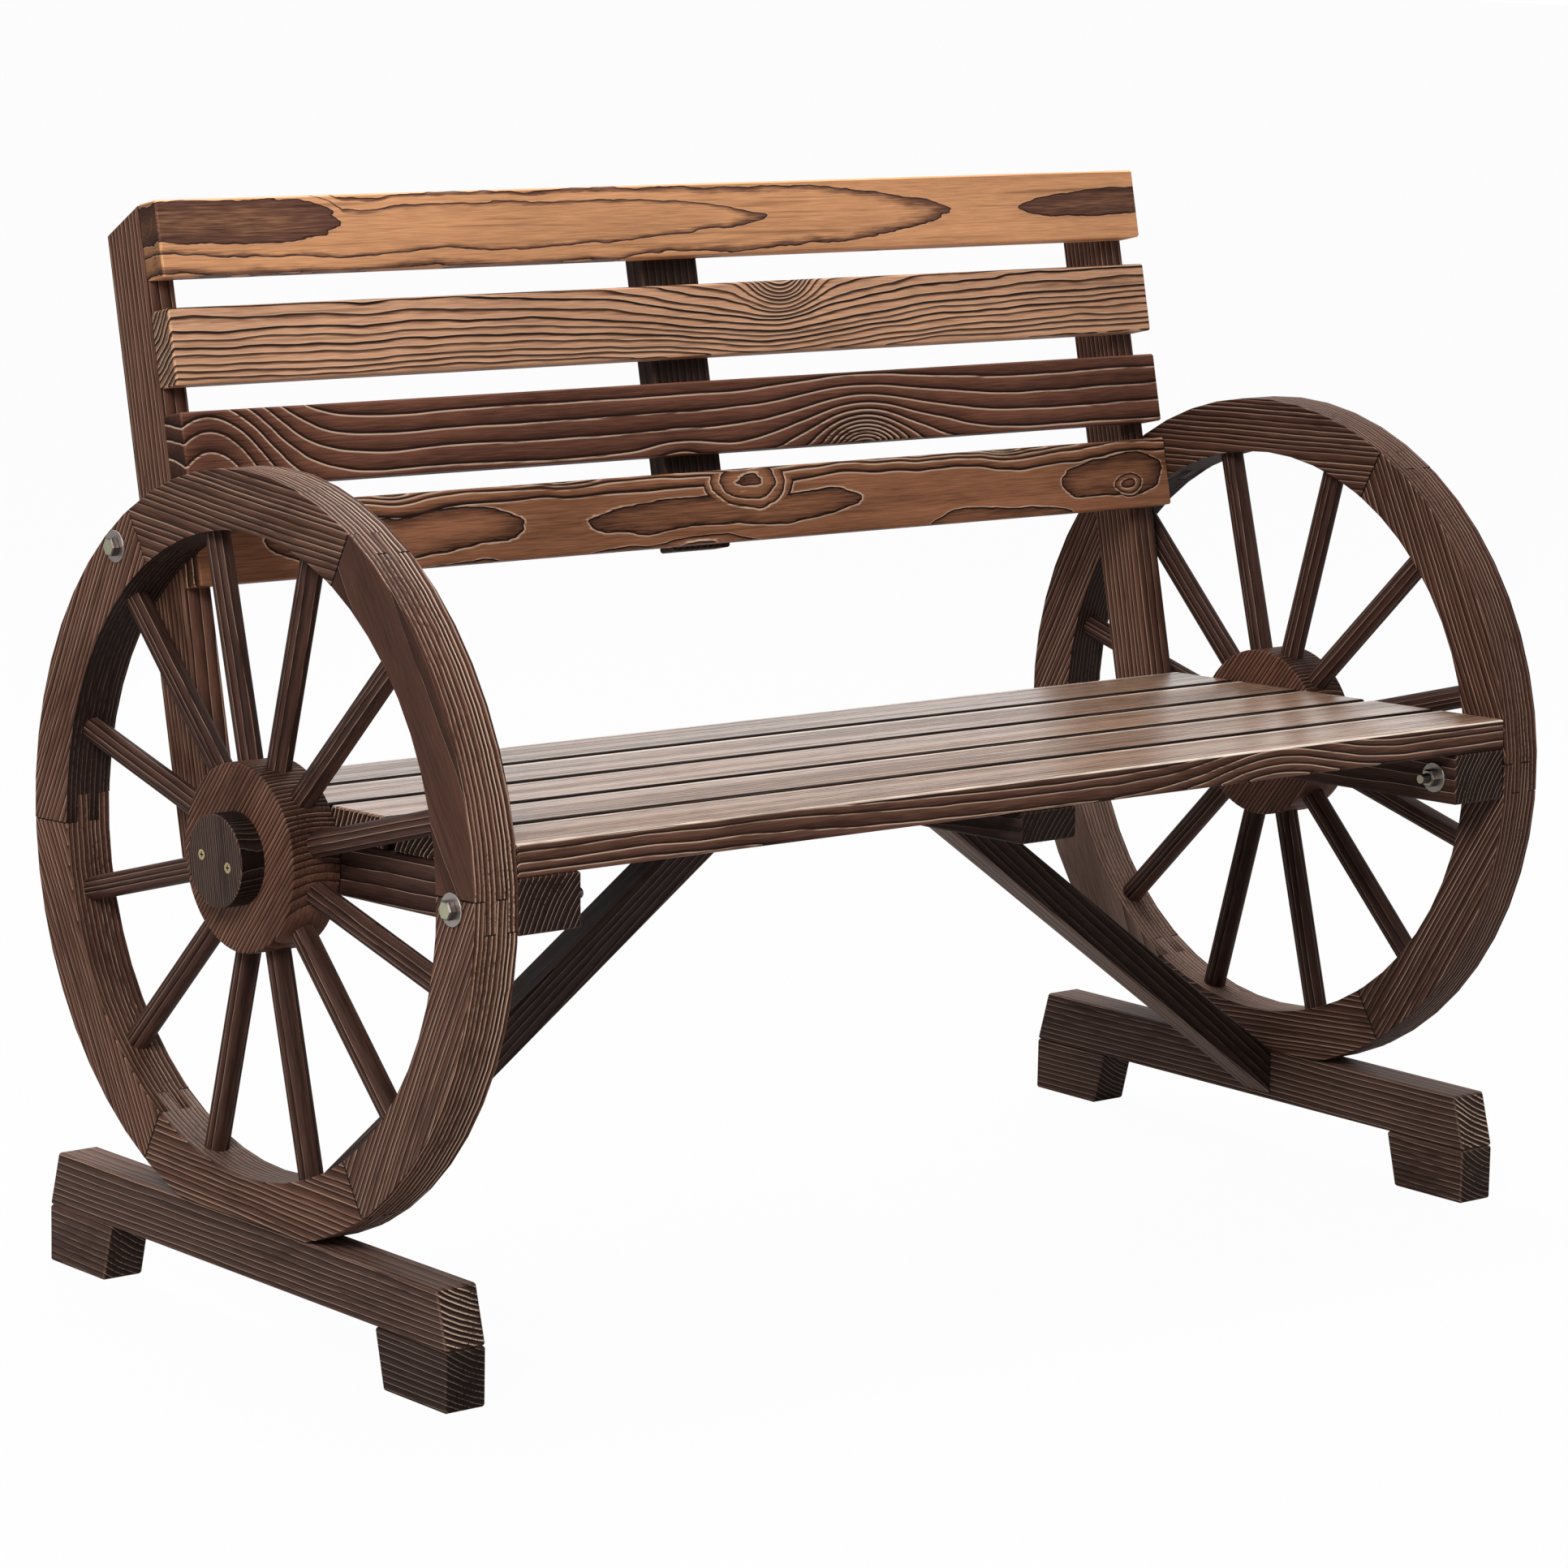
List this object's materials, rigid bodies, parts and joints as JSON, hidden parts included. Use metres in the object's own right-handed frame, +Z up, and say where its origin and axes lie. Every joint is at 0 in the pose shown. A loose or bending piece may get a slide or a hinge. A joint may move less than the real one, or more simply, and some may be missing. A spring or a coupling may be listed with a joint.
{
  "type": "wagon wheel bench",
  "caption": "Rustic garden bench in charred, brushed fir: a slatted seat and leaning slatted back held between two spoked wagon wheels that stand on skids, with diagonal braces.",
  "frame": {"origin": "on the floor under the middle of the bench, midway between the wheels and under their hubs", "axes": "+X along the bench to the sitter's left hand, which is the picture's right; -Y is the front; +Z up"},
  "size_m": [1.1092, 0.5594, 0.8154],
  "materials": {
    "charred_wheel_fir": "carbonised and wire-brushed, dull oil",
    "charred_cap_fir": "carbonised turned disc, dull oil",
    "charred_skid_fir": "carbonised and wire-brushed, dull oil",
    "brushed_seat_fir": "brushed back to tan on top, thin oil sheen",
    "charred_under_fir": "carbonised, left dark under the seat",
    "charred_post_fir": "carbonised and wire-brushed, dull oil",
    "brushed_back_fir": "carbonised and wire-brushed, raised ring lines",
    "brushed_top_fir": "brushed back to orange tan with dark figure",
    "yellow_zinc": "pale yellow zinc plate, satin",
    "brass_screw": "satin brass"
  },
  "bodies": {
    "root": {"felloe_left_1": "charred_wheel_fir", "felloe_left_2": "charred_wheel_fir", "felloe_left_3": "charred_wheel_fir", "felloe_left_4": "charred_wheel_fir", "felloe_left_5": "charred_wheel_fir", "felloe_left_6": "charred_wheel_fir", "spoked_hub_left": "charred_wheel_fir", "hub_cap_left": "charred_cap_fir", "cap_screw_left_1": "brass_screw", "cap_screw_left_2": "brass_screw", "skid_rail_left": "charred_skid_fir", "foot_block_front_left": "charred_skid_fir", "foot_block_rear_left": "charred_skid_fir", "seat_bearer_left": "charred_under_fir", "back_post_left": "charred_post_fir", "brace_left": "charred_under_fir", "hex_bolt_front_left": "yellow_zinc", "head_washer_front_left": "yellow_zinc", "nut_washer_front_left": "yellow_zinc", "hex_nut_front_left": "yellow_zinc", "hex_bolt_rear_left": "yellow_zinc", "head_washer_rear_left": "yellow_zinc", "nut_washer_rear_left": "yellow_zinc", "hex_nut_rear_left": "yellow_zinc", "felloe_right_1": "charred_wheel_fir", "felloe_right_2": "charred_wheel_fir", "felloe_right_3": "charred_wheel_fir", "felloe_right_4": "charred_wheel_fir", "felloe_right_5": "charred_wheel_fir", "felloe_right_6": "charred_wheel_fir", "spoked_hub_right": "charred_wheel_fir", "hub_cap_right": "charred_cap_fir", "cap_screw_right_1": "brass_screw", "cap_screw_right_2": "brass_screw", "skid_rail_right": "charred_skid_fir", "foot_block_front_right": "charred_skid_fir", "foot_block_rear_right": "charred_skid_fir", "seat_bearer_right": "charred_under_fir", "back_post_right": "charred_post_fir", "brace_right": "charred_under_fir", "hex_bolt_front_right": "yellow_zinc", "head_washer_front_right": "yellow_zinc", "nut_washer_front_right": "yellow_zinc", "hex_nut_front_right": "yellow_zinc", "hex_bolt_rear_right": "yellow_zinc", "head_washer_rear_right": "yellow_zinc", "nut_washer_rear_right": "yellow_zinc", "hex_nut_rear_right": "yellow_zinc", "seat_slat_1": "brushed_seat_fir", "seat_slat_2": "brushed_seat_fir", "seat_slat_3": "brushed_seat_fir", "seat_slat_4": "brushed_seat_fir", "seat_slat_5": "brushed_seat_fir", "seat_batten": "charred_under_fir", "back_slat_1": "brushed_top_fir", "back_slat_2": "brushed_back_fir", "back_slat_3": "brushed_back_fir", "back_slat_4": "brushed_back_fir", "back_batten": "charred_post_fir"}
  },
  "joints": []
}
